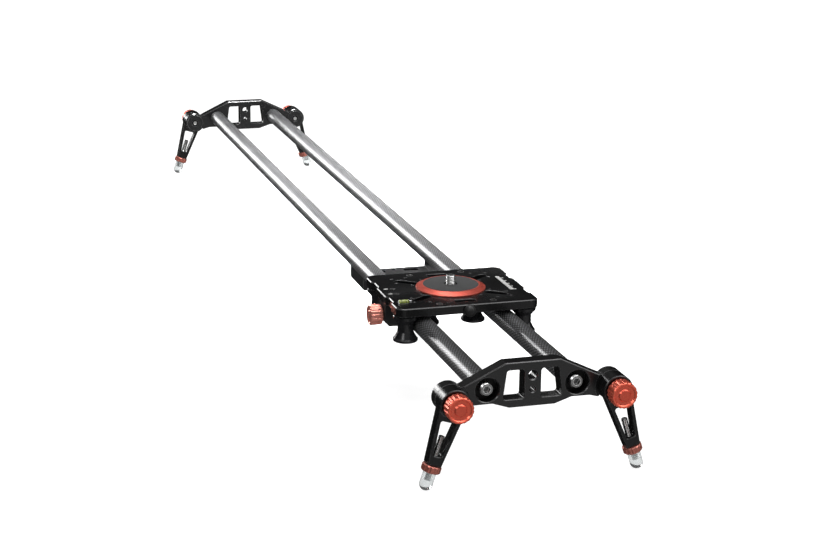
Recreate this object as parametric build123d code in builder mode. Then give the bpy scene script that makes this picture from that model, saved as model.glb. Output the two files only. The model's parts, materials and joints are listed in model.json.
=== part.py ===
from build123d import *

import os
from math import cos, radians, sin

# Camera slider: two carbon rails between two legged end plates, with a six-roller carriage.
# Frame: X across the rails, Y along them, Z up. The origin is on the floor, under the middle of the
# slider. The end at -Y is called near and the end at +Y far.
os.makedirs("parts", exist_ok=True)

# Driving dimensions, in millimetres and degrees.
slider_length = 1260
rail_height = 85.5
rail_spacing = 85
rail_radius = 10
rail_bore_radius = 8
end_plate_thickness = 14
hub_radius = 14
hub_reach = 76.4
hub_drop = 6
leg_splay = 18
foot_radius = 6
carriage_width = 145
carriage_length = 122
carriage_thickness = 9
carriage_top = 22.5
carriage_rest = -390
running_gap = 0.05
clear_gap = 0.3

# Screw sizes, as radii.
m5_radius = 2.5
m6_radius = 3
m8_radius = 4
quarter_inch_tap_radius = 2.6
three_eighths_tap_radius = 4
three_eighths_radius = 4.76

# Levels and faces worked out from them.
outer_face = slider_length / 2
inner_face = outer_face - end_plate_thickness
rail_x = rail_spacing / 2
hub_height = rail_height - hub_drop
plate_top = rail_height + carriage_top
plate_bottom = plate_top - carriage_thickness


def write(piece, name):
    """Labels one finished piece and writes it as its own STEP file."""
    piece.label = name
    export_step(piece, f"parts/{name}.step")


def write_four(piece, name):
    """Writes the near right piece and its mirror images at the other three corners."""
    write(piece, f"{name}_near_right")
    write(piece.mirror(Plane.YZ), f"{name}_near_left")
    write(piece.mirror(Plane.XZ), f"{name}_far_right")
    write(piece.mirror(Plane.YZ).mirror(Plane.XZ), f"{name}_far_left")


def four_corners(piece, name):
    """Writes one node that holds the near right piece and its three mirror images."""
    left = piece.mirror(Plane.YZ)
    near = [piece, left]
    write(Compound(children=near + [half.mirror(Plane.XZ) for half in near]), name)


def near_plane(depth, x=0, z=0):
    """A plane that looks out of the near end, that far inside the end plate's outer face."""
    return Plane(origin=(x, depth - outer_face, z), x_dir=(1, 0, 0), z_dir=(0, -1, 0))


# ---------------------------------------------------------------- rails
plug_length = 35
support_length = 54
support_middle = -206
support_screw_spacing = 34
support_screw_radius = 2

with BuildPart() as rail_right:
    with BuildSketch(Plane(origin=(rail_x, -inner_face, rail_height), x_dir=(1, 0, 0), z_dir=(0, 1, 0))):
        Circle(rail_radius)
        Circle(rail_bore_radius, mode=Mode.SUBTRACT)
    extrude(amount=2 * inner_face)
    with BuildSketch(Plane.XY.offset(rail_height - rail_radius - 1)):
        with Locations((rail_x, support_middle)):
            with GridLocations(1, support_screw_spacing, 1, 2):
                Circle(support_screw_radius)
    extrude(amount=4, mode=Mode.SUBTRACT)

write(rail_right.part, "rail_right")
write(rail_right.part.mirror(Plane.YZ), "rail_left")

rail_screw_head_radius = 6.5
rail_screw_head_length = 8
rail_screw_head_depth = 1.6
rail_screw_chamfer = 1.2
rail_washer_radius = 10.8
rail_washer_thickness = 1
rail_screw_reach = 30
recess_radius = 11.3
recess_chamfer = 0.7
recess_depth = rail_screw_head_depth + rail_screw_head_length + rail_washer_thickness

with BuildPart() as end_plug:
    with BuildSketch(near_plane(end_plate_thickness, rail_x, rail_height)):
        Circle(rail_bore_radius)
        Circle(m8_radius, mode=Mode.SUBTRACT)
    extrude(amount=-plug_length)
four_corners(end_plug.part, "rail_end_plugs")

with BuildPart() as rail_screw:
    with BuildSketch(near_plane(rail_screw_head_depth, rail_x, rail_height)):
        Circle(rail_screw_head_radius)
    extrude(amount=-rail_screw_head_length)
    chamfer(rail_screw.edges().sort_by(Axis.Y)[0], rail_screw_chamfer)
    with BuildSketch(near_plane(rail_screw_head_depth + rail_screw_head_length, rail_x, rail_height)):
        Circle(m8_radius)
    extrude(amount=-rail_screw_reach)
    with BuildSketch(near_plane(rail_screw_head_depth, rail_x, rail_height)):
        RegularPolygon(3, 6, major_radius=False)
    extrude(amount=-4, mode=Mode.SUBTRACT)
four_corners(rail_screw.part, "rail_screws")

with BuildPart() as rail_washer:
    with BuildSketch(near_plane(recess_depth - rail_washer_thickness, rail_x, rail_height)):
        Circle(rail_washer_radius)
        Circle(m8_radius + 0.3, mode=Mode.SUBTRACT)
    extrude(amount=-rail_washer_thickness)
four_corners(rail_washer.part, "rail_screw_washers")

# ---------------------------------------------------------------- end plates
tripod_hole_rise = 10.4
quarter_hole_drop = 3
pocket_depth = 2
pocket_radius = hub_radius + 2.6
ear_disc_radius = 11.5
ear_disc_height = 1
pivot_head_radius = 4.6
pivot_head_length = 3.5

with BuildPart() as end_plate:
    with BuildSketch(near_plane(0, 0, rail_height)) as plate_outline:
        with BuildLine():
            Polyline(
                (0, 23.5),
                (26, 23.5),
                (66.5, 4),
                (hub_reach, -hub_drop),
                (64, -16),
                (55, -13.5),
                (37.5, -13.3),
                (21.5, -18.6),
                (0, -18.6),
                close=True,
            )
        make_face()
        with Locations((hub_reach, -hub_drop)):
            Circle(hub_radius)
        mirror(about=Plane.YZ)
    extrude(amount=-end_plate_thickness)
    outer_rim = end_plate.faces().sort_by(Axis.Y)[0].edges()
    inner_rim = end_plate.faces().sort_by(Axis.Y)[-1].edges()
    chamfer(outer_rim + inner_rim, 0.8)
    with BuildSketch(near_plane(0, 0, rail_height)) as windows:
        with BuildLine():
            Polyline((8, 16.3), (24.3, 16.3), (27.9, -10.9), (8, -10.9), close=True)
        make_face()
        fillet(windows.vertices(), 2.6)
        mirror(about=Plane.YZ)
    extrude(amount=-end_plate_thickness, mode=Mode.SUBTRACT)
    face_edges = end_plate.edges().filter_by_position(Axis.Y, -outer_face - 0.01, -outer_face + 0.01)
    window_rims = face_edges.filter_by_position(Axis.X, -29, 29)
    window_rims = window_rims.filter_by_position(Axis.Z, rail_height - 11.5, rail_height + 17)
    chamfer(window_rims, 0.6)
    with Locations(near_plane(0, 0, rail_height)):
        with Locations((-rail_x, 0), (rail_x, 0)):
            CounterBoreHole(m8_radius + 0.2, recess_radius, recess_depth)
        with Locations((0, tripod_hole_rise)):
            CounterSinkHole(three_eighths_tap_radius, three_eighths_tap_radius + 1)
        with Locations((0, -quarter_hole_drop)):
            CounterSinkHole(quarter_inch_tap_radius, quarter_inch_tap_radius + 0.8)
        with Locations((-hub_reach, -hub_drop), (hub_reach, -hub_drop)):
            Hole(pocket_radius, pocket_depth)
    face_edges = end_plate.edges().filter_by_position(Axis.Y, -outer_face - 0.01, -outer_face + 0.01)
    round_edges = face_edges.filter_by(GeomType.CIRCLE)
    chamfer([edge for edge in round_edges if abs(edge.radius - recess_radius) < 0.01], recess_chamfer)
    with BuildSketch(near_plane(end_plate_thickness, 0, rail_height)):
        with Locations((-hub_reach, -hub_drop), (hub_reach, -hub_drop)):
            Circle(ear_disc_radius)
    extrude(amount=-ear_disc_height)
    for side in (-1, 1):
        with BuildSketch(near_plane(end_plate_thickness + ear_disc_height, side * hub_reach, hub_height)):
            Circle(pivot_head_radius + 0.2)
        extrude(amount=pivot_head_length, mode=Mode.SUBTRACT)
        with BuildSketch(near_plane(end_plate_thickness, side * hub_reach, hub_height)):
            Circle(m6_radius)
        extrude(amount=end_plate_thickness, mode=Mode.SUBTRACT)

write(end_plate.part, "end_plate_near")
write(end_plate.part.mirror(Plane.XZ), "end_plate_far")

# ---------------------------------------------------------------- legs
leg_hub_back = -pocket_depth + 0.55
leg_hub_front = 15
leg_back = 0.8
leg_thickness = 12
leg_length = 58.5
leg_top_half_width = 12.95
leg_end_half_width = 6.6
leg_wall = 3.5
window_start = 17
window_end = 49.5
foot_centre = (hub_height - foot_radius) / cos(radians(leg_splay))
ring_height = 6.8
ring_radius = 9
dome_start = leg_length + ring_height + 0.7
stud_start = 31.5
stud_end = foot_centre - 4
axis_depth = leg_back + leg_thickness / 2


def leg_plane(out):
    """The near right leg's own plane, that far out of the end plate; its Y runs up the leg."""
    tilt = radians(leg_splay)
    origin = (hub_reach, -outer_face - out, hub_height)
    return Plane(origin=origin, x_dir=(cos(tilt), 0, sin(tilt)), z_dir=(0, -1, 0))


def down_leg(distance):
    """A plane across the near right leg, that far from its hub; its normal points to the foot."""
    tilt = radians(leg_splay)
    origin = (hub_reach + distance * sin(tilt), -outer_face - axis_depth, hub_height - distance * cos(tilt))
    return Plane(origin=origin, x_dir=(0, 1, 0), z_dir=(sin(tilt), 0, -cos(tilt)))


def half_width(distance):
    """Half the leg's width, that far from its hub."""
    share = distance / leg_length
    return leg_top_half_width + share * (leg_end_half_width - leg_top_half_width)


with BuildPart() as leg:
    with BuildSketch(leg_plane(leg_back)):
        with BuildLine():
            Polyline(
                (-half_width(0), 0),
                (half_width(0), 0),
                (leg_end_half_width, -leg_length),
                (-leg_end_half_width, -leg_length),
                close=True,
            )
        make_face()
    extrude(amount=leg_thickness)
    with BuildSketch(leg_plane(leg_back)) as leg_window:
        with BuildLine():
            Polyline(
                (leg_wall - half_width(window_start), -window_start),
                (half_width(window_start) - leg_wall, -window_start),
                (half_width(window_end) - leg_wall, -window_end),
                (leg_wall - half_width(window_end), -window_end),
                close=True,
            )
        make_face()
        fillet(leg_window.vertices(), 2)
    extrude(amount=leg_thickness, mode=Mode.SUBTRACT)
    chamfer(leg.faces().sort_by(Axis.Y)[0].edges(), 0.6)
    with BuildSketch(leg_plane(leg_hub_back)):
        Circle(hub_radius)
    extrude(amount=leg_hub_front - leg_hub_back)
    chamfer(leg.faces().sort_by(Axis.Y)[0].edges().filter_by(GeomType.CIRCLE), 0.7)
    with BuildSketch(leg_plane(leg_hub_back)):
        Circle(m6_radius + running_gap)
    extrude(amount=leg_hub_front - leg_hub_back, mode=Mode.SUBTRACT)
    with BuildSketch(down_leg(window_end - 1)):
        Circle(m6_radius + running_gap)
    extrude(amount=leg_length - window_end + 2, mode=Mode.SUBTRACT)
write_four(leg.part, "leg")

with BuildPart() as friction_washer:
    with BuildSketch(near_plane(pocket_depth, hub_reach, hub_height)):
        Circle(12)
        Circle(m6_radius, mode=Mode.SUBTRACT)
    extrude(amount=0.5)
four_corners(friction_washer.part, "leg_friction_washers")

knob_back = leg_hub_front + 0.4
knob_front = 29.5
knob_radius = 12.3
pivot_reach = 25

with BuildPart() as pivot_bolt:
    head_face = end_plate_thickness + ear_disc_height
    with BuildSketch(near_plane(head_face, hub_reach, hub_height)):
        Circle(pivot_head_radius)
    extrude(amount=pivot_head_length)
    with BuildSketch(near_plane(head_face, hub_reach, hub_height)):
        Circle(m6_radius)
    extrude(amount=head_face + pivot_reach)
    with BuildSketch(near_plane(head_face, hub_reach, hub_height)):
        RegularPolygon(2, 6, major_radius=False)
    extrude(amount=2.5, mode=Mode.SUBTRACT)
four_corners(pivot_bolt.part, "leg_pivot_bolts")


def scalloped_knob(plane, radius, neck_length, length, scallops, bore_radius, bore_depth):
    """A turned knob on a short neck, with a ring groove in its face and scallops round its rim."""
    body = length - neck_length
    groove_outer = radius * 0.74
    groove_inner = radius * 0.48
    with BuildPart() as knob:
        with BuildSketch(plane):
            Circle(radius * 0.66)
        extrude(amount=neck_length)
        with BuildSketch(plane.offset(neck_length)):
            Circle(radius)
        extrude(amount=body)
        rims = knob.edges().filter_by(GeomType.CIRCLE)
        chamfer([rim for rim in rims if abs(rim.radius - radius) < 0.01], radius * 0.08)
        with BuildSketch(plane.offset(neck_length)):
            with PolarLocations(radius * 1.075, scallops):
                Circle(radius * 0.13)
        extrude(amount=body, mode=Mode.SUBTRACT)
        with BuildSketch(plane.offset(length)):
            Circle(groove_outer)
            Circle(groove_inner, mode=Mode.SUBTRACT)
        extrude(amount=-radius * 0.11, mode=Mode.SUBTRACT)
        circles = knob.edges().filter_by(GeomType.CIRCLE).sort_by(Axis(plane.origin, plane.z_dir))
        for wall_radius in (groove_outer, groove_inner):
            chamfer([rim for rim in circles if abs(rim.radius - wall_radius) < 0.01][-1], radius * 0.09)
        with BuildSketch(plane):
            Circle(bore_radius)
        extrude(amount=bore_depth, mode=Mode.SUBTRACT)
    return knob.part


leg_knob_plane = near_plane(-knob_back, hub_reach, hub_height)
leg_knob_length = knob_front - knob_back
leg_knob_bore = pivot_reach - knob_back + 0.5
leg_knob = scalloped_knob(
    leg_knob_plane, knob_radius, 1.2, leg_knob_length, 18, m6_radius + running_gap, leg_knob_bore
)
write_four(leg_knob, "leg_knob")

# ---------------------------------------------------------------- feet
with BuildPart() as lock_ring:
    with BuildSketch(down_leg(leg_length + clear_gap)):
        Circle(ring_radius)
    extrude(amount=ring_height - clear_gap)
    chamfer(lock_ring.edges().filter_by(GeomType.CIRCLE), 0.9)
    with BuildSketch(down_leg(leg_length + clear_gap)):
        with PolarLocations(ring_radius + 0.9, 14):
            Circle(1.5)
        Circle(m6_radius + running_gap)
    extrude(amount=ring_height - clear_gap, mode=Mode.SUBTRACT)
write_four(lock_ring.part, "foot_ring")

with BuildPart() as foot_stud:
    with BuildSketch(down_leg(stud_start)):
        Circle(m6_radius)
    extrude(amount=stud_end - stud_start)
    chamfer(foot_stud.edges(), 0.5)
write_four(foot_stud.part, "foot_stud")

with BuildPart() as foot_dome:
    with BuildSketch(down_leg(dome_start)):
        Circle(foot_radius)
    extrude(amount=foot_centre - dome_start)
    with Locations(down_leg(foot_centre)):
        Sphere(foot_radius)
    with BuildSketch(down_leg(dome_start)):
        Circle(m6_radius)
    extrude(amount=stud_end - dome_start, mode=Mode.SUBTRACT)
write_four(foot_dome.part, "foot_dome")

# ---------------------------------------------------------------- support bracket under the rails
deck_top = rail_height - 16
deck_thickness = 7.5
rib_half_width = 5

with BuildPart() as support:
    with BuildSketch(Plane.XY.offset(deck_top - deck_thickness)):
        with Locations((0, support_middle)):
            Rectangle(2 * (rail_x + rib_half_width), support_length)
    extrude(amount=deck_thickness)
    with BuildSketch(Plane.XY.offset(deck_top)):
        with Locations((-rail_x, support_middle), (rail_x, support_middle)):
            Rectangle(2 * rib_half_width, support_length)
    extrude(amount=rail_height - rail_radius / 2 - deck_top)
    chamfer(support.edges().group_by(Axis.Z)[0], 1.2)
    with BuildSketch(Plane.XZ.offset(-support_middle - support_length)):
        with Locations((-rail_x, rail_height), (rail_x, rail_height)):
            Circle(rail_radius)
    extrude(amount=2 * support_length, mode=Mode.SUBTRACT)
    with BuildSketch(Plane.XY.offset(deck_top)):
        with Locations((0, support_middle)):
            with GridLocations(38, 34, 2, 2):
                SlotOverall(18, 9)
    extrude(amount=-deck_thickness, mode=Mode.SUBTRACT)
    with Locations(Plane.XY.offset(deck_top - deck_thickness).rotated((180, 0, 0))):
        with Locations((0, -support_middle)):
            CounterSinkHole(three_eighths_tap_radius, three_eighths_tap_radius + 1)
        with Locations((0, -support_middle - 21), (0, -support_middle + 21)):
            CounterSinkHole(quarter_inch_tap_radius, quarter_inch_tap_radius + 0.8)
        with Locations((-rail_x, -support_middle), (rail_x, -support_middle)):
            with GridLocations(1, support_screw_spacing, 1, 2):
                CounterBoreHole(support_screw_radius, 3.7, 4)
write(support.part, "rail_support")

support_screws = []
for x in (-rail_x, rail_x):
    for y in (support_middle - support_screw_spacing / 2, support_middle + support_screw_spacing / 2):
        with BuildPart() as support_screw:
            with BuildSketch(Plane.XY.offset(deck_top - deck_thickness + 0.3)):
                with Locations((x, y)):
                    Circle(3.5)
            extrude(amount=3.7)
            with BuildSketch(Plane.XY.offset(deck_top - deck_thickness + 0.3)):
                with Locations((x, y)):
                    Circle(support_screw_radius)
            extrude(amount=17)
            with BuildSketch(Plane.XY.offset(deck_top - deck_thickness + 0.3)):
                with Locations((x, y)):
                    RegularPolygon(1.5, 6, major_radius=False)
            extrude(amount=2, mode=Mode.SUBTRACT)
        support_screws.append(support_screw.part)
write(Compound(children=support_screws), "rail_support_screws")

# ---------------------------------------------------------------- carriage
corner_lobe_start = 37
middle_lobe_end = 16
notch_depth = 2.6
notch_slope = 2.5
corner_round = 8
slot_ring_radius = 47.5
slot_angle = 36.5
slot_length = 24
slot_width = 9
middle_slot_y = 46
middle_slot_length = 22
middle_slot_width = 7.6
m3_tap_radius = 1.25
m3_tap_depth = 4
m3_tap_spots = ((50, 41), (49, 26.5), (35, 43), (35.5, 16.5), (21.5, 32))
tapped_x = 27.5
tapped_y = 51.5
small_tap_x = -58.5
small_tap_y = 8.5
small_tap_radius = 2
outer_roller_offset = 18.3
outer_roller_y = 47
axle_hole_depth = 7
screw_shoulder_radius = 5.5
screw_bore_radius = screw_shoulder_radius + running_gap
level_x = -60
level_y = -36.5
level_length = 9.6
level_radius = 2.5
level_sink = 0.3
insert_wall = 0.6


def carriage_plane(height, x=0, y=0):
    """A level plane over the carriage's middle, at that height over the floor."""
    return Plane(origin=(x, carriage_rest + y, height))


def roller_places():
    """Where each roller's axle stands, from the carriage's middle: four outside, two inside."""
    outer_x = rail_x + outer_roller_offset
    inner_x = rail_x - outer_roller_offset
    return {
        "near_left": (-outer_x, -outer_roller_y),
        "near_right": (outer_x, -outer_roller_y),
        "far_left": (-outer_x, outer_roller_y),
        "far_right": (outer_x, outer_roller_y),
        "inner_left": (-inner_x, 0),
        "inner_right": (inner_x, 0),
    }


def slot_places():
    """Centre and angle of each diagonal slot."""
    places = []
    for angle in (slot_angle, 180 - slot_angle, 180 + slot_angle, 360 - slot_angle):
        x = slot_ring_radius * cos(radians(angle))
        y = slot_ring_radius * sin(radians(angle))
        places.append((x, y, angle))
    return places


with BuildPart() as carriage:
    with BuildSketch(carriage_plane(plate_bottom)) as carriage_outline:
        half = carriage_width / 2
        end = carriage_length / 2
        with BuildLine():
            Polyline(
                (0, end),
                (half, end),
                (half, corner_lobe_start),
                (half - notch_depth, corner_lobe_start - notch_slope),
                (half - notch_depth, middle_lobe_end + notch_slope),
                (half, middle_lobe_end),
                (half, 0),
                (0, 0),
                close=True,
            )
        make_face()
        corner = carriage_outline.vertices().group_by(Axis.X)[-1].sort_by(Axis.Y)[-1]
        fillet(corner, corner_round)
        notch_corners = carriage_outline.vertices().filter_by_position(Axis.Y, 14, 40)
        fillet(notch_corners.filter_by_position(Axis.X, 60, 80), 1.5)
        mirror(about=Plane.YZ)
        mirror(about=Plane.XZ)
    extrude(amount=carriage_thickness)
    chamfer(carriage.faces().sort_by(Axis.Z)[-1].edges(), 0.8)
    chamfer(carriage.faces().sort_by(Axis.Z)[0].edges(), 0.8)
    with BuildSketch(carriage_plane(plate_bottom)):
        for slot_x, slot_y, angle in slot_places():
            with Locations(Location((slot_x, slot_y), angle)):
                SlotOverall(slot_length, slot_width)
        with Locations((0, -middle_slot_y), (0, middle_slot_y)):
            SlotOverall(middle_slot_length, middle_slot_width)
    extrude(amount=carriage_thickness, mode=Mode.SUBTRACT)
    top_edges = carriage.faces().sort_by(Axis.Z)[-1].inner_wires()
    chamfer([edge for wire in top_edges for edge in wire.edges()], 0.5)
    with BuildSketch(carriage_plane(plate_bottom)):
        Circle(screw_bore_radius)
        with GridLocations(2 * tapped_x, 2 * tapped_y, 2, 2):
            Circle(quarter_inch_tap_radius + insert_wall)
    extrude(amount=carriage_thickness, mode=Mode.SUBTRACT)
    with BuildSketch(carriage_plane(plate_top)):
        with Locations((small_tap_x, -small_tap_y), (small_tap_x, small_tap_y)):
            Circle(small_tap_radius + insert_wall)
    extrude(amount=-6, mode=Mode.SUBTRACT)
    with Locations(carriage_plane(plate_top)):
        for tap_x, tap_y in m3_tap_spots:
            with GridLocations(2 * tap_x, 2 * tap_y, 2, 2):
                CounterSinkHole(m3_tap_radius, m3_tap_radius + 0.45, m3_tap_depth)
    with BuildSketch(carriage_plane(plate_bottom)):
        with Locations(*roller_places().values()):
            Circle(m5_radius)
    extrude(amount=axle_hole_depth + 0.5, mode=Mode.SUBTRACT)
    with BuildSketch(carriage_plane(plate_top)):
        with Locations((level_x, level_y)):
            Rectangle(level_length + 1, 2 * level_radius + 1)
    extrude(amount=-level_radius - level_sink - 0.05, mode=Mode.SUBTRACT)
write(carriage.part, "carriage_plate")

with BuildPart() as thread_inserts:
    with BuildSketch(carriage_plane(plate_bottom)):
        with GridLocations(2 * tapped_x, 2 * tapped_y, 2, 2):
            Circle(quarter_inch_tap_radius + insert_wall)
            Circle(quarter_inch_tap_radius, mode=Mode.SUBTRACT)
    extrude(amount=carriage_thickness)
    with BuildSketch(carriage_plane(plate_top - 6)):
        with Locations((small_tap_x, -small_tap_y), (small_tap_x, small_tap_y)):
            Circle(small_tap_radius + insert_wall)
            Circle(small_tap_radius, mode=Mode.SUBTRACT)
    extrude(amount=6)
write(thread_inserts.part, "carriage_thread_inserts")

# Mounting ring, rubber pad and camera screw.
ring_base_radius = 35
ring_lip_radius = 29.2
ring_rise = 4
ring_edge = 1.2
pad_radius = 28
pad_floor = 1.5
pad_rise = 4.2
screw_rise = 9
screw_chamfer = 0.9
screw_head_radius = 9
screw_head_thickness = 5
shoulder_drop = 0.5
relief_radius = 4.2
relief_rise = 0.3

with BuildPart() as mount_ring:
    with BuildSketch(Plane.XZ.offset(-carriage_rest)):
        with BuildLine():
            Polyline(
                (screw_bore_radius + 1, plate_top),
                (ring_base_radius, plate_top),
                (ring_base_radius, plate_top + ring_edge),
                (ring_lip_radius, plate_top + ring_rise),
                (pad_radius, plate_top + ring_rise),
                (pad_radius, plate_top + pad_floor),
                (screw_bore_radius + 1, plate_top + pad_floor),
                close=True,
            )
        make_face()
    revolve(axis=Axis((0, carriage_rest, 0), (0, 0, 1)))
write(mount_ring.part, "mount_ring")

with BuildPart() as mount_pad:
    with BuildSketch(carriage_plane(plate_top + pad_floor)):
        Circle(pad_radius)
        Circle(screw_bore_radius + 1, mode=Mode.SUBTRACT)
    extrude(amount=pad_rise - pad_floor)
    chamfer(mount_pad.faces().sort_by(Axis.Z)[-1].edges().sort_by(SortBy.RADIUS)[-1], 0.4)
write(mount_pad.part, "mount_pad")

with BuildPart() as camera_screw:
    with BuildSketch(carriage_plane(plate_bottom - clear_gap - screw_head_thickness)):
        Circle(screw_head_radius)
    extrude(amount=screw_head_thickness)
    chamfer(camera_screw.edges().filter_by(GeomType.CIRCLE), 0.6)
    pad_top = plate_top + pad_rise
    with BuildSketch(carriage_plane(plate_bottom - clear_gap)):
        Circle(screw_shoulder_radius)
    extrude(amount=pad_top - shoulder_drop - plate_bottom + clear_gap)
    with BuildSketch(carriage_plane(pad_top - shoulder_drop)):
        Circle(relief_radius)
    extrude(amount=shoulder_drop + relief_rise)
    with BuildSketch(carriage_plane(pad_top + relief_rise)):
        Circle(three_eighths_radius)
    extrude(amount=screw_rise - relief_rise)
    chamfer(camera_screw.edges().filter_by(GeomType.CIRCLE).sort_by(Axis.Z)[-1], screw_chamfer)
    with BuildSketch(carriage_plane(plate_bottom - clear_gap - screw_head_thickness)):
        Rectangle(2 * screw_head_radius, 1.8)
    extrude(amount=2, mode=Mode.SUBTRACT)
write(camera_screw.part, "camera_screw")

# Bump stops on the carriage's two ends.
bump_radius = 6
bump_height = rail_height + 16.5
bump_base = 1.5
bumps = []
for direction in (-1, 1):
    face_y = carriage_rest + direction * carriage_length / 2
    with BuildPart() as bump:
        with BuildSketch(Plane(origin=(0, face_y, bump_height), x_dir=(1, 0, 0), z_dir=(0, direction, 0))):
            Circle(bump_radius)
        extrude(amount=bump_base)
        with Locations((0, face_y + direction * bump_base, bump_height)):
            Sphere(bump_radius)
        split(bisect_by=Plane.XZ.offset(-face_y), keep=Keep.BOTTOM if direction > 0 else Keep.TOP)
    bumps.append(bump.part)
write(Compound(children=bumps), "bump_stops")

# Bubble level.
with BuildPart() as level:
    level_start = Plane(
        origin=(level_x - level_length / 2, carriage_rest + level_y, plate_top - level_sink),
        x_dir=(0, 1, 0),
        z_dir=(1, 0, 0),
    )
    with BuildSketch(level_start):
        Circle(level_radius)
    extrude(amount=level_length)
    chamfer(level.edges().filter_by(GeomType.CIRCLE), 0.4)
write(level.part, "level_vial")

level_screw_x = level_x + level_length / 2 + 2.4
with BuildPart() as level_screw:
    with BuildSketch(carriage_plane(plate_top, level_screw_x, level_y)):
        Circle(1.7)
    extrude(amount=1.2)
    fillet(level_screw.edges().sort_by(Axis.Z)[-1], 0.5)
    with BuildSketch(carriage_plane(plate_top + 1.2, level_screw_x, level_y)):
        RegularPolygon(0.8, 6, major_radius=False)
    extrude(amount=-0.8, mode=Mode.SUBTRACT)
write(level_screw.part, "level_screw")

# Printed marks: a ruled scale on the right, and dashes beside the two small tapped holes.
mark_thickness = 0.15
scale_x = 59
scale_ticks = 24
scale_pitch = 2
with BuildPart() as marks:
    with BuildSketch(carriage_plane(plate_top, scale_x, 2)):
        for tick in range(scale_ticks):
            tick_length = 6.5 if tick % 5 == 0 else 4
            with Locations(((tick_length - 6.5) / 2, (tick - (scale_ticks - 1) / 2) * scale_pitch)):
                Rectangle(tick_length, 0.9)
    extrude(amount=mark_thickness)
    with BuildSketch(carriage_plane(plate_top, small_tap_x - 6.3)):
        with Locations((0, small_tap_y + 1), (0, 1 - small_tap_y)):
            Rectangle(4.2, 1.3)
    extrude(amount=mark_thickness)
write(marks.part, "carriage_marks")

# Rollers: a spool that rides the rail's side at mid-height, two ball bearings and a fixed axle bolt.
roller_gap = 0.7
roller_top = plate_bottom - roller_gap
roller_bottom = rail_height - 13.5
top_flange_radius = 12.4
neck_radius = outer_roller_offset - rail_radius - clear_gap
bottom_flange_radius = 12.2
bearing_radius = 5.5
bearing_width = 4
axle_head_recess = 5
axle_radius = m5_radius - running_gap
lower_bearing_top = roller_bottom + axle_head_recess + bearing_width

with BuildPart() as roller:
    with BuildSketch(Plane.XZ):
        with BuildLine():
            Polyline(
                (3.6, roller_top - bearing_width),
                (bearing_radius, roller_top - bearing_width),
                (bearing_radius, roller_top),
                (top_flange_radius - 0.6, roller_top),
                (top_flange_radius, roller_top - 0.6),
                (top_flange_radius, roller_top - 3.4),
                (top_flange_radius - 0.8, roller_top - 4.2),
            )
            Line((top_flange_radius - 0.8, roller_top - 4.2), (neck_radius, rail_height + 4.5))
            Line((neck_radius, rail_height + 4.5), (neck_radius, rail_height - 4))
            Line((neck_radius, rail_height - 4), (bottom_flange_radius - 1, roller_bottom + 3.4))
            Polyline(
                (bottom_flange_radius - 1, roller_bottom + 3.4),
                (bottom_flange_radius, roller_bottom + 2.6),
                (bottom_flange_radius, roller_bottom + 0.8),
                (bottom_flange_radius - 0.8, roller_bottom),
                (bearing_radius, roller_bottom),
                (bearing_radius, lower_bearing_top),
                (3.6, lower_bearing_top),
                (3.6, roller_top - bearing_width),
            )
        make_face()
    revolve(axis=Axis.Z)

with BuildPart() as bearings:
    for bearing_bottom in (roller_top - bearing_width, lower_bearing_top - bearing_width):
        with BuildSketch(Plane.XY.offset(bearing_bottom)):
            Circle(bearing_radius)
            Circle(m5_radius, mode=Mode.SUBTRACT)
        extrude(amount=bearing_width)

with BuildPart() as axle:
    head_bottom = roller_bottom + 0.2
    with BuildSketch(Plane.XY.offset(head_bottom)):
        Circle(4.25)
    extrude(amount=axle_head_recess - 0.4)
    with BuildSketch(Plane.XY.offset(head_bottom)):
        Circle(axle_radius)
    extrude(amount=plate_bottom + axle_hole_depth - head_bottom)
    with BuildSketch(Plane.XY.offset(head_bottom)):
        RegularPolygon(2, 6, major_radius=False)
    extrude(amount=2.5, mode=Mode.SUBTRACT)

with BuildPart() as axle_washer:
    with BuildSketch(Plane.XY.offset(roller_top + running_gap)):
        Circle(3.5)
        Circle(m5_radius, mode=Mode.SUBTRACT)
    extrude(amount=roller_gap - running_gap)

axles = []
washers = []
for place, (x, y) in roller_places().items():
    spot = Location((x, carriage_rest + y, 0))
    write(roller.part.moved(spot), f"roller_{place}")
    write(bearings.part.moved(spot), f"roller_bearings_{place}")
    axles.append(axle.part.moved(spot))
    washers.append(axle_washer.part.moved(spot))
write(Compound(children=axles), "roller_axles")
write(Compound(children=washers), "roller_washers")

# Brake: a block under the left side, a plunger that meets the rail's side, and its captive knob.
block_outer_x = -71
block_inner_x = -55
block_length = 18
block_bottom = rail_height - 11
block_corner = 5
plunger_radius = 4
plunger_reach = 5
plunger_travel = 1
rod_length = 15
shank_radius = 5
brake_knob_radius = 10.3
brake_knob_length = 13.2
knob_face_gap = 0.6


def across_plane(x, direction=1):
    """A plane across X at the brake's axis, that looks along +X or, for -1, along -X."""
    return Plane(origin=(x, carriage_rest, rail_height), x_dir=(0, direction, 0), z_dir=(direction, 0, 0))


plunger_tip = -rail_x - rail_radius - plunger_travel - 0.1
plunger_shoulder = plunger_tip - plunger_reach
shank_end = plunger_shoulder - plunger_travel - 0.5

with BuildPart() as brake_block:
    with BuildSketch(Plane.XZ.offset(-carriage_rest - block_length / 2)):
        with BuildLine():
            Polyline(
                (block_outer_x, plate_bottom),
                (block_inner_x, plate_bottom),
                (block_inner_x, block_bottom),
                (block_outer_x + block_corner, block_bottom),
                (block_outer_x, block_bottom + block_corner),
                close=True,
            )
        make_face()
    extrude(amount=block_length)
    chamfer(brake_block.faces().sort_by(Axis.Y)[0].edges(), 0.6)
    with BuildSketch(across_plane(block_inner_x, -1)):
        Circle(plunger_radius + running_gap)
    extrude(amount=block_inner_x - shank_end, mode=Mode.SUBTRACT)
    with BuildSketch(across_plane(shank_end, -1)):
        Circle(shank_radius + running_gap)
    extrude(amount=shank_end - block_outer_x, mode=Mode.SUBTRACT)
write(brake_block.part, "brake_block")

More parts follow.
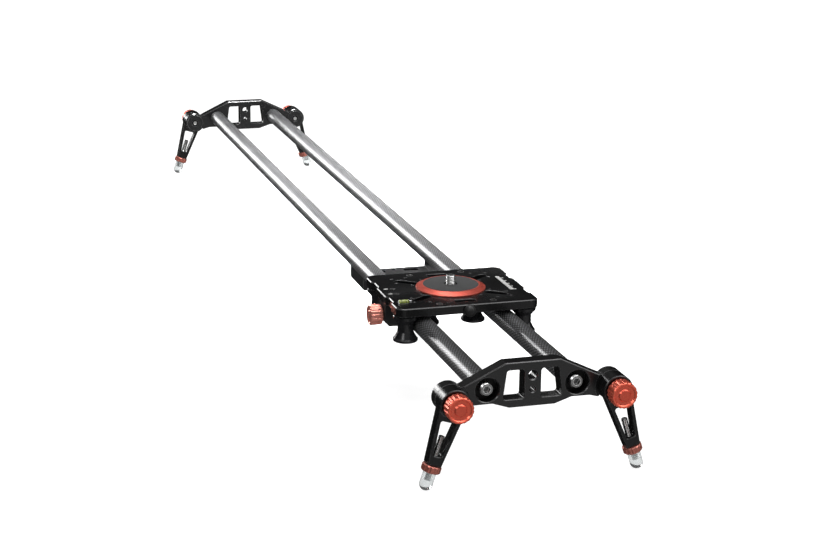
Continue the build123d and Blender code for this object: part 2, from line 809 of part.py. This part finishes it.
with BuildPart() as brake_plunger:
    with BuildSketch(across_plane(plunger_tip, -1)):
        Circle(plunger_radius)
    extrude(amount=plunger_reach)
    chamfer(brake_plunger.edges().sort_by(Axis.X)[-1], 0.6)
    with BuildSketch(across_plane(plunger_shoulder, -1)):
        Circle(m6_radius)
    extrude(amount=rod_length)
write(brake_plunger.part, "brake_plunger")

knob_inner_x = block_outer_x - knob_face_gap
brake_knob = scalloped_knob(
    across_plane(knob_inner_x, -1), brake_knob_radius, 1, brake_knob_length, 18, m6_radius + running_gap, 6
)
with BuildPart() as brake_knob_whole:
    add(brake_knob)
    with BuildSketch(across_plane(knob_inner_x)):
        Circle(shank_radius)
        Circle(m6_radius + running_gap, mode=Mode.SUBTRACT)
    extrude(amount=shank_end - knob_inner_x)
write(brake_knob_whole.part, "brake_knob")
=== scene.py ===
import json
from math import cos, pi, radians, sin

import bmesh
import bpy
from mathutils import Matrix, Vector


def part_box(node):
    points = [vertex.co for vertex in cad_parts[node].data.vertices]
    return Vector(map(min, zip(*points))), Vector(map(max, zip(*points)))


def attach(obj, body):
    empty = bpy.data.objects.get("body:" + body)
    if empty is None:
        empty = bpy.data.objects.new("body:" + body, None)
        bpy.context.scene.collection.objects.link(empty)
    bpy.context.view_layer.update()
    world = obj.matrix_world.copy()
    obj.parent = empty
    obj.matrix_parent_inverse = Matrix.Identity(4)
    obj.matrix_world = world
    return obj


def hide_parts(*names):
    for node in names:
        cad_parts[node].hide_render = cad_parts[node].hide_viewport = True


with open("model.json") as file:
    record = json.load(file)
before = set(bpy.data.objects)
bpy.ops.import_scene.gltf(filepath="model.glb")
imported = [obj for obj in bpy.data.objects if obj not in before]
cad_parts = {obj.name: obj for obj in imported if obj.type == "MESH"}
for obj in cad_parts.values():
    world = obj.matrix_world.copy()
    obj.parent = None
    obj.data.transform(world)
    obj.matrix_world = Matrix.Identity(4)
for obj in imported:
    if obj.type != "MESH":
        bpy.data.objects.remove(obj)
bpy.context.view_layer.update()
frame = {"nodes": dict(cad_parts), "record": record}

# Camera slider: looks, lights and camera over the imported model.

corners = ("near_right", "near_left", "far_right", "far_left")
joints = {joint["name"]: joint for joint in frame["record"]["behaviour"]["joints"]}


# ---------------------------------------------------------------- node helpers
class Surface:
    """One node material: a Principled shader and short calls that add nodes to it."""

    def __init__(self, name, **settings):
        self.material = bpy.data.materials.new(name)
        self.material.use_nodes = True
        self.tree = self.material.node_tree
        self.shader = self.tree.nodes["Principled BSDF"]
        self.coordinates = self.add("ShaderNodeTexCoord").outputs["Object"]
        for socket, value in settings.items():
            self.shader.inputs[socket.replace("_", " ")].default_value = value

    def add(self, kind, **settings):
        node = self.tree.nodes.new(kind)
        for key, value in settings.items():
            setattr(node, key, value)
        return node

    def join(self, source, socket):
        if isinstance(source, bpy.types.NodeSocket):
            self.tree.links.new(source, socket)
        else:
            socket.default_value = source
        return socket

    def math(self, operation, *values, clamp=False):
        node = self.add("ShaderNodeMath", operation=operation, use_clamp=clamp)
        for value, socket in zip(values, node.inputs):
            self.join(value, socket)
        return node.outputs[0]

    def vector_math(self, operation, *values, result="Vector"):
        node = self.add("ShaderNodeVectorMath", operation=operation)
        for value, socket in zip(values, node.inputs):
            self.join(value, socket)
        return node.outputs[result]

    def stretched(self, scale, middle=(0, 0, 0)):
        """Object coordinates in metres from the middle, times a scale on each axis."""
        moved = self.vector_math("SUBTRACT", self.coordinates, middle)
        return self.vector_math("MULTIPLY", moved, scale)

    def noise(self, scale, detail=2.0, vector=None, roughness=0.5):
        node = self.add("ShaderNodeTexNoise")
        node.inputs["Scale"].default_value = scale
        node.inputs["Detail"].default_value = detail
        node.inputs["Roughness"].default_value = roughness
        self.join(self.coordinates if vector is None else vector, node.inputs["Vector"])
        return node.outputs["Fac"]

    def remap(self, value, low, high, to_low, to_high):
        node = self.add("ShaderNodeMapRange")
        for number, socket in zip((low, high, to_low, to_high), list(node.inputs)[1:5]):
            socket.default_value = number
        self.join(value, node.inputs["Value"])
        return node.outputs["Result"]

    def mix(self, factor, first, second):
        node = self.add("ShaderNodeMix", data_type="RGBA")
        self.join(factor, node.inputs[0])
        for colour, socket in ((first, node.inputs[6]), (second, node.inputs[7])):
            self.join(colour if isinstance(colour, bpy.types.NodeSocket) else (*colour, 1), socket)
        return node.outputs[2]

    def bump(self, height, distance, strength=1.0, normal=None):
        node = self.add("ShaderNodeBump")
        node.inputs["Strength"].default_value = strength
        node.inputs["Distance"].default_value = distance
        self.join(height, node.inputs["Height"])
        if normal is not None:
            self.join(normal, node.inputs["Normal"])
        return node.outputs["Normal"]

    def bevel(self, radius):
        node = self.add("ShaderNodeBevel", samples=6)
        node.inputs["Radius"].default_value = radius
        return node.outputs["Normal"]

    def edges(self, radius, low=0.80, high=0.99):
        """1 on the sharp edges, 0 on the faces."""
        true_normal = self.add("ShaderNodeNewGeometry").outputs["Normal"]
        likeness = self.vector_math("DOT_PRODUCT", self.bevel(radius), true_normal, result="Value")
        return self.remap(likeness, low, high, 1, 0)

    def distance_from_axes(self, axis_x, axis_z):
        """How far a point is from the nearer of two lines along Y, at plus and minus axis_x."""
        x, _, z = self.separate(self.coordinates)
        across = self.math("SUBTRACT", self.math("ABSOLUTE", x), axis_x)
        rise = self.math("SUBTRACT", z, axis_z)
        squares = [self.math("MULTIPLY", length, length) for length in (across, rise)]
        return self.math("SQRT", self.math("ADD", *squares))

    def band(self, value, start, full, fade, end):
        """0 up to start, 1 from full to fade, 0 again past end."""
        return self.math("MULTIPLY", self.remap(value, start, full, 0, 1), self.remap(value, fade, end, 1, 0))

    def separate(self, vector):
        node = self.add("ShaderNodeSeparateXYZ")
        self.join(vector, node.inputs[0])
        return node.outputs

    def finish(self, colour=None, roughness=None, normal=None, metallic=None):
        for source, socket in (
            (colour, "Base Color"), (roughness, "Roughness"), (normal, "Normal"), (metallic, "Metallic")
        ):
            if source is not None:
                self.join(source, self.shader.inputs[socket])
        return self.material


# ---------------------------------------------------------------- materials
def anodised_black(name, tone=0.009, gloss=0.34, shine=0.3):
    """Blasted, black-anodised aluminium: fine grain, faint clouding, edges lighter, partly rubbed wear and
    partly a painted edge highlight.
    """
    s = Surface(name, Specular_IOR_Level=shine)
    clouds = s.noise(22, 3)
    grain = s.noise(2600, 2)
    specks = s.remap(s.noise(1500, 1), 0.66, 0.74, 0, 1)
    face = s.mix(clouds, (tone * 0.75,) * 3, (tone * 1.5, tone * 1.5, tone * 1.6))
    face = s.mix(s.math("MULTIPLY", specks, 0.15), face, (0.09, 0.09, 0.095))
    # Edge lightening: partly rubbed wear, partly a painted edge highlight standing in for glints on chamfers
    # and hole rims.
    lightened_mask = s.math("MULTIPLY", s.edges(0.0007), s.remap(s.noise(160, 3), 0.35, 0.65, 0.25, 1))
    colour = s.mix(s.math("MULTIPLY", lightened_mask, 0.75), face, (0.26, 0.26, 0.265))
    roughness = s.math("ADD", s.remap(clouds, 0.3, 0.7, gloss - 0.05, gloss + 0.07),
                       s.math("MULTIPLY", grain, 0.06))
    normal = s.bump(grain, 0.00002, 0.4, s.bevel(0.0004))
    return s.finish(colour, roughness, normal)


def edge_wear_and_highlight_red(s, face):
    """A red face colour with its edges lightened to pale copper: partly rubbed wear, partly a painted edge
    highlight.
    """
    lightened_mask = s.math("MULTIPLY", s.edges(0.0006), s.remap(s.noise(220, 3), 0.3, 0.7, 0.3, 1))
    return s.mix(s.math("MULTIPLY", lightened_mask, 0.55), face, (0.95, 0.50, 0.40))


def anodised_red(name, dark, light, gloss=0.22, middle=None):
    """Turned, copper-red anodised aluminium; rings round the middle where one is given."""
    s = Surface(name, Metallic=0.75)
    clouds = s.noise(40, 2)
    grain = s.noise(1800, 2)
    colour = edge_wear_and_highlight_red(s, s.mix(clouds, dark, light))
    height = grain
    if middle is not None:
        arm = s.vector_math("SUBTRACT", s.coordinates, middle)
        arm = s.vector_math("MULTIPLY", arm, (1, 1, 0))
        radius = s.vector_math("LENGTH", arm, result="Value")
        rings = s.math("SINE", s.math("MULTIPLY", radius, 9000))
        height = s.math("ADD", s.math("MULTIPLY", grain, 0.4), rings)
    roughness = s.remap(clouds, 0.3, 0.7, gloss, gloss + 0.09)
    return s.finish(colour, roughness, s.bump(height, 0.00003, 0.35, s.bevel(0.0004)))


def turned_knob(name):
    """The knob's red finish with lathe rings on its round face, from its own bounding box, with painted shade
    in the face groove and on the centre disc.
    """
    s = Surface(name, Metallic=0.75)
    own = s.vector_math("SUBTRACT", s.add("ShaderNodeTexCoord").outputs["Generated"], (0.5, 0.5, 0.5))
    radius = s.vector_math("LENGTH", s.vector_math("MULTIPLY", own, (1, 0, 1)), result="Value")
    rings = s.math("SINE", s.math("MULTIPLY", radius, 260))
    # Painted shade: the groove ring on the face and the centre disc are darkened towards deep red.
    groove = s.band(radius, 0.22, 0.235, 0.35, 0.37)
    painted_shade = s.math("ADD", s.math("MULTIPLY", groove, 0.30), s.remap(radius, 0.20, 0.23, 0.45, 0))
    clouds = s.noise(55, 2)
    grain = s.noise(1800, 2)
    face = s.mix(clouds, (0.86, 0.130, 0.075), (0.95, 0.180, 0.110))
    colour = edge_wear_and_highlight_red(s, s.mix(painted_shade, face, (0.40, 0.040, 0.024)))
    height = s.math("ADD", s.math("MULTIPLY", grain, 0.6), s.math("MULTIPLY", rings, 0.4))
    roughness = s.remap(clouds, 0.3, 0.7, 0.20, 0.29)
    return s.finish(colour, roughness, s.bump(height, 0.00003, 0.4, s.bevel(0.0008)))


def carbon_tube(name, axis_x, axis_z):
    """Clear-coated plain weave round a tube that runs along Y: dark weft cells and pale warp cells, the pale
    colour a painted sheen.
    """
    s = Surface(name, Coat_Weight=0.35, Coat_Roughness=0.22, Specular_IOR_Level=0.4)
    x, y, z = s.separate(s.vector_math("SUBTRACT", s.coordinates, (axis_x, 0, axis_z)))
    tows_around = 40
    cell_length = 0.0030
    around = s.math("MULTIPLY", s.math("ARCTAN2", z, x), tows_around / (2 * pi))
    along = s.math("DIVIDE", y, cell_length)
    step = s.math("ADD", s.math("FLOOR", around), s.math("FLOOR", along))
    warp_on_top = s.math("LESS_THAN", s.math("FLOORED_MODULO", step, 2), 0.5)
    across_warp = s.math("SINE", s.math("MULTIPLY", s.math("FRACT", around), pi))
    across_weft = s.math("SINE", s.math("MULTIPLY", s.math("FRACT", along), pi))
    lift = s.math("MULTIPLY", across_warp, across_weft)
    warp_fibres = s.noise(1.0, 2, s.stretched((7000, 300, 7000)))
    weft_fibres = s.noise(1.0, 2, s.stretched((300, 7000, 300)))
    # Painted sheen: the pale warp colour stands in for light glancing along the fibres, fading where each tow
    # dips; the weave pattern itself is real.
    dark = s.mix(weft_fibres, (0.004, 0.004, 0.004), (0.020, 0.020, 0.021))
    light = s.mix(warp_fibres, (0.15, 0.152, 0.156), (0.31, 0.312, 0.318))
    colour = s.mix(s.math("MULTIPLY", warp_on_top, s.remap(lift, 0.0, 0.5, 0.3, 1)), dark, light)
    roughness = s.remap(warp_on_top, 0, 1, 0.30, 0.44)
    metallic = s.remap(warp_on_top, 0, 1, 0.2, 0.55)
    return s.finish(colour, roughness, s.bump(lift, 0.00010, 0.5), metallic)


def steel(name, tone, roughness, grain_scale=(300, 300, 3000)):
    """Turned or drawn steel with fine lines and faint stains."""
    s = Surface(name, Metallic=1.0)
    lines = s.noise(1.0, 3, s.stretched(grain_scale))
    stains = s.noise(90, 3)
    colour = s.mix(stains, (tone * 0.85,) * 3, (tone * 1.08, tone * 1.08, tone * 1.06))
    level = s.math("ADD", s.remap(lines, 0.3, 0.7, roughness - 0.06, roughness + 0.08),
                   s.math("MULTIPLY", stains, 0.05))
    return s.finish(colour, level, s.bump(lines, 0.00004, 0.4, s.bevel(0.0003)))


def socket_bolt(name, axis_x, axis_z, socket, rim):
    """Turned steel cap screws along Y at plus and minus axis_x, with painted shade in the socket and on a
    ring round the rim.
    """
    s = Surface(name, Metallic=1.0)
    reach = s.distance_from_axes(axis_x, axis_z)
    socket_shade_mask = s.remap(reach, socket, socket + 0.0004, 1, 0)
    groove = s.band(reach, rim - 0.0011, rim - 0.0008, rim, rim + 0.0003)
    stains = s.noise(300, 3)
    colour = s.mix(stains, (0.66, 0.66, 0.66), (0.84, 0.84, 0.83))
    # Painted shade: a dark ring just inside the rim and a dark socket.
    colour = s.mix(s.math("MULTIPLY", groove, 0.75), colour, (0.10, 0.10, 0.10))
    colour = s.mix(s.math("MULTIPLY", socket_shade_mask, 0.85), colour, (0.05, 0.05, 0.05))
    roughness = s.remap(stains, 0.3, 0.7, 0.20, 0.30)
    return s.finish(colour, roughness, s.bump(stains, 0.00003, 0.4, s.bevel(0.0003)))


def black_bolt(name, axis_x, axis_z):
    """Black-oxide steel, bright round the socket, on bolts along Y at plus and minus axis_x."""
    s = Surface(name, Metallic=1.0)
    reach = s.distance_from_axes(axis_x, axis_z)
    rim_jitter = s.math("MULTIPLY", s.noise(900, 3), 0.0006)
    bright = s.remap(s.math("ADD", reach, rim_jitter), 0.0027, 0.0031, 1, 0)
    stains = s.noise(200, 3)
    colour = s.mix(stains, (0.018, 0.018, 0.019), (0.035, 0.035, 0.036))
    colour = s.mix(bright, colour, (0.78, 0.78, 0.77))
    roughness = s.remap(stains, 0.3, 0.7, 0.26, 0.40)
    return s.finish(colour, roughness, s.bump(stains, 0.00003, 0.4, s.bevel(0.0003)))


def rubber(name, tone, grain=1400, roughness=0.78, shine=0.35):
    """Moulded rubber: a fine pitted grain, dusty in places."""
    s = Surface(name, Specular_IOR_Level=shine)
    pits = s.noise(grain, 3)
    dust = s.noise(60, 4)
    colour = s.mix(dust, (tone * 0.75,) * 3, (tone * 1.3, tone * 1.32, tone * 1.34))
    colour = s.mix(s.remap(pits, 0.62, 0.72, 0, 0.5), colour, (tone * 2.6,) * 3)
    level = s.remap(dust, 0.3, 0.7, roughness - 0.08, roughness + 0.08)
    return s.finish(colour, level, s.bump(pits, 0.00012, 0.5))


def plastic(name, dark, light, roughness, lines=None):
    """Moulded or turned plastic with faint flow marks."""
    s = Surface(name)
    flow = s.noise(45, 3)
    grain = s.noise(1.0, 2, s.stretched(lines or (1500, 1500, 1500)))
    level = s.math("ADD", s.remap(flow, 0.3, 0.7, roughness - 0.05, roughness + 0.06),
                   s.math("MULTIPLY", grain, 0.05))
    return s.finish(s.mix(flow, dark, light), level, s.bump(grain, 0.00005, 0.4, s.bevel(0.0004)))


def clear_foot(name):
    """Clear moulded plastic, slightly milky, with fine scuffs near its tip."""
    s = Surface(name, Transmission_Weight=0.90, IOR=1.48, Coat_Weight=0.6, Coat_Roughness=0.06)
    haze = s.noise(180, 3)
    height = s.separate(s.coordinates)[2]
    near_tip = s.remap(height, 0.0, 0.006, 1, 0)
    scuffed = s.math("MULTIPLY", near_tip, s.remap(s.noise(900, 3), 0.45, 0.6, 0, 1))
    colour = s.mix(haze, (0.62, 0.65, 0.65), (0.78, 0.80, 0.80))
    level = s.math("ADD", s.remap(haze, 0.3, 0.7, 0.05, 0.14), s.math("MULTIPLY", scuffed, 0.35))
    return s.finish(colour, level, s.bump(haze, 0.0002, 0.25))


def level_vial(name, middle):
    """A clear tube of yellow-green spirit with a bubble and two black rings."""
    s = Surface(name, Coat_Weight=1.0, Coat_Roughness=0.05, Transmission_Weight=0.15)
    x, _, z = s.separate(s.vector_math("SUBTRACT", s.coordinates, middle))
    offset = s.math("ABSOLUTE", x)
    ring = s.math("MULTIPLY", s.math("GREATER_THAN", offset, 0.00205), s.math("LESS_THAN", offset, 0.00255))
    oval = s.vector_math("LENGTH", s.stretched((520, 950, 0), middle), result="Value")
    bubble = s.math("MULTIPLY", s.math("LESS_THAN", oval, 1.0), s.math("GREATER_THAN", z, 0))
    outline = s.math("MULTIPLY", bubble, s.math("GREATER_THAN", oval, 0.8))
    tint = s.noise(500, 2)
    colour = s.mix(tint, (0.17, 0.22, 0.018), (0.32, 0.37, 0.045))
    colour = s.mix(s.math("MULTIPLY", bubble, 0.6), colour, (0.80, 0.86, 0.50))
    colour = s.mix(outline, colour, (0.16, 0.22, 0.02))
    colour = s.mix(ring, colour, (0.01, 0.01, 0.01))
    return s.finish(colour, s.remap(tint, 0.3, 0.7, 0.06, 0.14), s.bump(tint, 0.00002, 0.3))


def printed_white(name):
    """White screen print, thin in places."""
    s = Surface(name)
    lightened_mask = s.remap(s.noise(2200, 3), 0.36, 0.52, 0, 1)
    colour = s.mix(lightened_mask, (0.30, 0.30, 0.30), (0.78, 0.78, 0.76))
    return s.finish(colour, s.remap(lightened_mask, 0, 1, 0.55, 0.42), s.bump(lightened_mask, 0.00002, 0.5))


def dress(nodes, material):
    """Gives each of these CAD nodes that material in every slot."""
    for node in nodes:
        mesh = frame["nodes"][node].data
        if not mesh.materials:
            mesh.materials.append(material)
        for index in range(len(mesh.materials)):
            mesh.materials[index] = material


def middle_of(node):
    low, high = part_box(node)
    return (low + high) / 2


for side in ("left", "right"):
    tube = middle_of(f"rail_{side}")
    dress([f"rail_{side}"], carbon_tube(f"carbon_{side}", tube.x, tube.z))
dress(["end_plate_near", "end_plate_far"], anodised_black("end_plate_black", 0.005, 0.18, 0.6))
dress(["rail_support", "brake_block"], anodised_black("bracket_black", 0.007, 0.34))
dress(["carriage_plate"], anodised_black("carriage_black", 0.004, 0.20, 0.4))
dress([f"leg_{corner}" for corner in corners], anodised_black("leg_black", 0.003, 0.16, 0.4))
dress(["rail_end_plugs"], anodised_black("plug_black", 0.014, 0.4))
dress([f"leg_knob_{corner}" for corner in corners], turned_knob("knob_red"))
foot_red = anodised_red("foot_ring_red", (0.48, 0.150, 0.115), (0.60, 0.21, 0.165))
dress([f"foot_ring_{corner}" for corner in corners], foot_red)
# The brake knob gets a lighter copy of the red: painted highlight for its brighter, lit look.
dress(["brake_knob"], anodised_red("brake_knob_red_painted_highlight", (0.78, 0.27, 0.21), (0.88, 0.36, 0.29)))
ring_middle = middle_of("mount_ring")
ring_red = anodised_red("mount_ring_red", (0.36, 0.052, 0.034), (0.43, 0.074, 0.050), 0.40, ring_middle)
dress(["mount_ring"], ring_red)
dress(["mount_pad"], rubber("pad_rubber", 0.034, 1100, shine=0.15))
dress(["bump_stops"], rubber("stop_rubber", 0.012, 1600, 0.5))
dress([f"foot_dome_{corner}" for corner in corners], clear_foot("foot_clear"))
dress(["level_vial"], level_vial("level_spirit", middle_of("level_vial")))
dress(["carriage_marks"], printed_white("mark_white"))
tube = middle_of("rail_right")
dress(["rail_screws"], socket_bolt("rail_screw_steel", tube.x, tube.z, 0.0026, 0.0049))
dress(["rail_support_screws", "roller_axles"], steel("socket_steel", 0.82, 0.24))
dress(["rail_screw_washers", "roller_washers"], steel("washer_steel", 0.03, 0.45))
dress(["level_screw"], steel("bolt_steel", 0.80, 0.20))
hub = joints["leg_hinge_near_right"]["pos_m"]
dress(["leg_pivot_bolts"], black_bolt("pivot_bolt_steel", hub[0], hub[2]))
# The inserts' steel is darkened as painted shade for the dark insides of the tapped holes.
dress(["carriage_thread_inserts"], steel("insert_steel", 0.20, 0.36))
dress(["leg_friction_washers"], plastic("washer_nylon", (0.60, 0.59, 0.55), (0.70, 0.69, 0.65), 0.5))
dress(["brake_plunger"], plastic("plunger_black", (0.012, 0.012, 0.013), (0.022, 0.022, 0.024), 0.42))
rollers = [node for node in frame["nodes"] if node.startswith("roller_")]
bearings = [node for node in rollers if node.startswith("roller_bearings")]
spools = [node for node in rollers if node not in bearings + ["roller_axles", "roller_washers"]]
dress(spools, plastic("roller_black", (0.006, 0.006, 0.007), (0.011, 0.011, 0.012), 0.17, (200, 200, 5000)))
dress(bearings, steel("bearing_steel", 0.72, 0.16, (3000, 3000, 300)))


# ---------------------------------------------------------------- threaded pieces
def turned_screw(name, start, axis, plain, thread_end, radius, pitch, depth, segments=48, tail=()):
    """A turned piece along an axis: plain stations of (distance, radius), a screw thread, plain stations.

    The thread runs from the last plain station to thread_end and dies away at both of its ends.
    """
    side = axis.orthogonal().normalized()
    other = axis.cross(side)
    first = plain[-1][0] if plain else 0.0
    steps = round((thread_end - first) / (pitch / 6))
    stations = [(distance, reach, False) for distance, reach in plain]
    stations += [(first + (thread_end - first) * k / steps, radius, True) for k in range(steps + 1)]
    stations += [(distance, reach, False) for distance, reach in tail]
    mesh = bmesh.new()
    rings = []
    for distance, reach, cut in stations:
        ring = []
        for k in range(segments):
            turn = k / segments
            groove = 0.0
            if cut:
                phase = (distance / pitch - turn) % 1.0
                groove = depth * min(1, 1.25 * (1 - abs(2 * phase - 1)))
                groove = max(groove, depth * 1.2 - min(distance - first, thread_end - distance))
            angle = 2 * pi * turn
            arm = (side * cos(angle) + other * sin(angle)) * (reach - groove)
            ring.append(mesh.verts.new(start + axis * distance + arm))
        rings.append(ring)
    for low, high in zip(rings, rings[1:]):
        for k in range(segments):
            mesh.faces.new((low[k], low[(k + 1) % segments], high[(k + 1) % segments], high[k]))
    mesh.faces.new(list(reversed(rings[0])))
    mesh.faces.new(rings[-1])
    bmesh.ops.recalc_face_normals(mesh, faces=mesh.faces)
    data = bpy.data.meshes.new(name)
    mesh.to_mesh(data)
    mesh.free()
    data.set_sharp_from_angle(angle=radians(35))
    piece = bpy.data.objects.new(name, data)
    bpy.context.scene.collection.objects.link(piece)
    return piece


def place_screw(piece, node, body, material):
    """Puts a turned screw in the place of a CAD node, on that node's body."""
    piece.data.materials.append(material)
    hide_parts(node)
    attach(piece, body)


stud_steel = steel("stud_steel", 0.50, 0.24)
up = Vector((0, 0, 1))
screw_low, screw_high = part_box("camera_screw")
pad_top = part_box("mount_pad")[1].z
screw_foot = Vector(((screw_low.x + screw_high.x) / 2, (screw_low.y + screw_high.y) / 2, screw_low.z))
pad_at = pad_top - screw_low.z
screw_height = screw_high.z - screw_low.z
screw_radius = 0.00476
screw_pitch = 0.0254 / 16
head_thickness = 0.005
head_radius = 0.009
head_chamfer = 0.0006
shoulder_radius = 0.0055
relief_radius = 0.0042
shoulder_end = pad_at - 0.0005
screw_profile = [
    (0.0, head_radius - head_chamfer), (head_chamfer, head_radius),
    (head_thickness - head_chamfer, head_radius), (head_thickness, head_radius - head_chamfer),
    (head_thickness, shoulder_radius), (shoulder_end, shoulder_radius), (shoulder_end, relief_radius),
]
camera_thread = turned_screw(
    "camera_screw_threaded", screw_foot, up, screw_profile, screw_height, screw_radius, screw_pitch, 0.0007
)
place_screw(camera_thread, "camera_screw", "camera_screw", stud_steel)

# Distances along a leg, from its hinge.
stud_start = 0.0315
stud_shank = 0.0665
stud_end = 0.07328
ring_at = 0.060
shank_radius = 0.0024
shank_chamfer = 0.0004
stud_radius = 0.003
stud_pitch = 0.001
shank_from = stud_shank - stud_start
shank_to = stud_end - stud_start
shank = [(shank_from, shank_radius), (shank_to - shank_chamfer, shank_radius),
         (shank_to, shank_radius - shank_chamfer)]
for corner in corners:
    turn = joints[f"foot_ring_turn_{corner}"]
    down = Vector(turn["axis"]).normalized()
    top = Vector(turn["pos_m"]) + down * (stud_start - ring_at)
    stud = turned_screw(
        f"foot_stud_threaded_{corner}", top, down, [], shank_from, stud_radius, stud_pitch, 0.00045, 32, shank
    )
    place_screw(stud, f"foot_stud_{corner}", f"foot_{corner}", stud_steel)


# ---------------------------------------------------------------- stage, lights and camera
def stage_plane(name, size, material):
    mesh = bmesh.new()
    bmesh.ops.create_grid(mesh, x_segments=1, y_segments=1, size=size / 2)
    data = bpy.data.meshes.new(name)
    mesh.to_mesh(data)
    mesh.free()
    data.materials.append(material)
    plane = bpy.data.objects.new(name, data)
    bpy.context.scene.collection.objects.link(plane)
    return plane


def area_light(name, place, target, width, height, power, spread=180):
    light = bpy.data.lights.new(name, "AREA")
    light.shape = "RECTANGLE"
    light.size = width
    light.size_y = height
    light.energy = power
    light.spread = radians(spread)
    lamp = bpy.data.objects.new(name, light)
    lamp.location = place
    lamp.rotation_euler = (Vector(target) - Vector(place)).to_track_quat("-Z", "Y").to_euler()
    lamp.visible_camera = False
    bpy.context.scene.collection.objects.link(lamp)


paper = Surface("paper_white", Roughness=0.9, Specular_IOR_Level=0.1)
paper.shader.inputs["Emission Color"].default_value = (1, 1, 1, 1)
paper.shader.inputs["Emission Strength"].default_value = 0.86
paper_tone = paper.mix(paper.noise(3, 2), (0.30, 0.30, 0.30), (0.33, 0.33, 0.33))
floor = stage_plane("floor", 40, paper.finish(paper_tone))
floor.visible_glossy = False


def studio_world():
    """White to the camera; to everything else dark low down, lighter overhead and low in front."""
    world = bpy.data.worlds.new("studio")
    world.use_nodes = True
    nodes, links = world.node_tree.nodes, world.node_tree.links
    direction = nodes.new("ShaderNodeTexCoord")
    parts = nodes.new("ShaderNodeSeparateXYZ")
    rise = nodes.new("ShaderNodeMapRange")
    for value, socket in zip((0.42, 0.95, 0.01, 0.7), list(rise.inputs)[1:5]):
        socket.default_value = value
    front_low = nodes.new("ShaderNodeVectorMath")
    front_low.operation = "DOT_PRODUCT"
    front_low.inputs[1].default_value = (0.28, -0.92, -0.28)
    bounce = nodes.new("ShaderNodeMapRange")
    for value, socket in zip((0.55, 0.95, 0.0, 0.4), list(bounce.inputs)[1:5]):
        socket.default_value = value
    both = nodes.new("ShaderNodeMath")
    eye = nodes.new("ShaderNodeLightPath")
    tone = nodes.new("ShaderNodeMix")
    tone.inputs[3].default_value = 1.0
    links.new(direction.outputs["Generated"], parts.inputs[0])
    links.new(parts.outputs["Z"], rise.inputs["Value"])
    links.new(direction.outputs["Generated"], front_low.inputs[0])
    links.new(front_low.outputs["Value"], bounce.inputs["Value"])
    links.new(rise.outputs["Result"], both.inputs[0])
    links.new(bounce.outputs["Result"], both.inputs[1])
    links.new(both.outputs[0], tone.inputs[2])
    links.new(eye.outputs["Is Camera Ray"], tone.inputs[0])
    links.new(tone.outputs[0], nodes["Background"].inputs["Strength"])
    nodes["Background"].inputs["Color"].default_value = (1, 1, 1, 1)
    bpy.context.scene.world = world


studio_world()
area_light("overhead_box", (0.1, 0.6, 2.4), (0.1, 0.6, 0), 1.8, 2.8, 12)
area_light("middle_box", (0.05, 0.17, 1.3), (0.05, 0.17, 0), 0.5, 0.5, 12.5, 46)
area_light("edge_strip", (0.8, -1.2, 2.3), (0.8, -0.8, 0.1), 3.2, 0.6, 34)
area_light("back_left_box", (-1.25, 3.1, 0.72), (0, 0.0, 0.1), 0.9, 1.2, 44)
area_light("front_left_box", (-1.9, -2.2, 1.5), (0, -0.4, 0.1), 1.0, 1.0, 14)
area_light("right_strip", (1.8, -1.0, 1.0), (0, -0.4, 0.1), 0.4, 1.6, 6)

camera_place = (-0.5574, -2.0920, 0.6392)
camera_yaw = radians(16.906)
camera_pitch = radians(16.162)
camera_roll = radians(0.754)
lens = bpy.data.cameras.new("photo_view")
lens.sensor_width = 36
lens.lens = 81.27
lens.clip_end = 60
camera = bpy.data.objects.new("photo_view", lens)
turned = Matrix.Rotation(-camera_yaw, 4, "Z") @ Matrix.Rotation(pi / 2 - camera_pitch, 4, "X")
camera.matrix_world = Matrix.Translation(camera_place) @ turned @ Matrix.Rotation(camera_roll, 4, "Z")
bpy.context.scene.collection.objects.link(camera)
bpy.context.scene.camera = camera
bpy.context.scene.view_settings.view_transform = "Standard"
